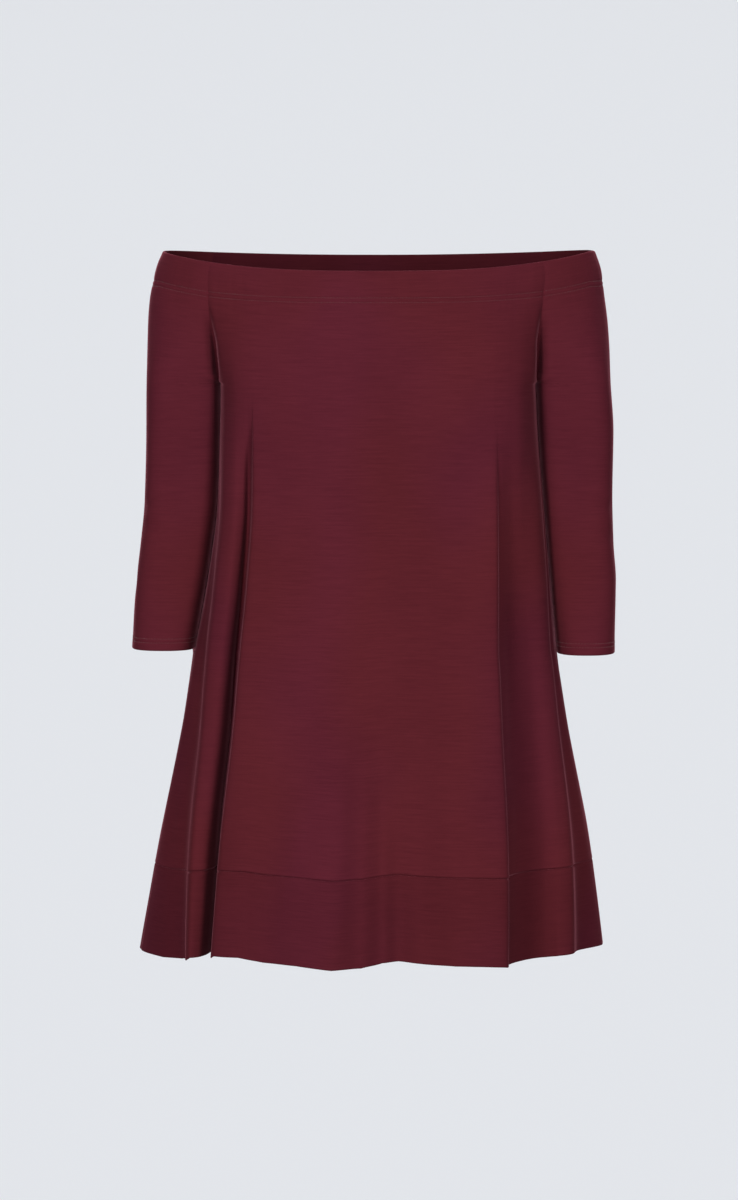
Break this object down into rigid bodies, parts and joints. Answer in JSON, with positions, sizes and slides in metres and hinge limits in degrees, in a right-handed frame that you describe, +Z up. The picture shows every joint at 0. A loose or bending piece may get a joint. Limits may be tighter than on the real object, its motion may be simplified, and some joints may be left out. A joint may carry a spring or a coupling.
{
  "type": "off-shoulder dress",
  "caption": "Hollow swing dress with an elastic off-shoulder neck, three-quarter sleeves, deep side folds and a seamed hem band.",
  "frame": {"origin": "centre of the neck opening, half way down the elastic casing, where the upper arms and chest hold the dress", "axes": "+Z up towards the neck opening, the front of the dress faces -Y, +X to the picture's right (the wearer's left)"},
  "size_m": [0.5075, 0.336, 0.7385],
  "materials": {
    "jersey": "fine viscose jersey with a soft sheen",
    "hem_band": "doubled jersey of the same cloth"
  },
  "bodies": {
    "root": {"front_panel": "jersey", "back_panel": "jersey", "sleeve_right": "jersey", "sleeve_left": "jersey", "hem_band_front": "hem_band", "hem_band_back": "hem_band"}
  },
  "joints": []
}
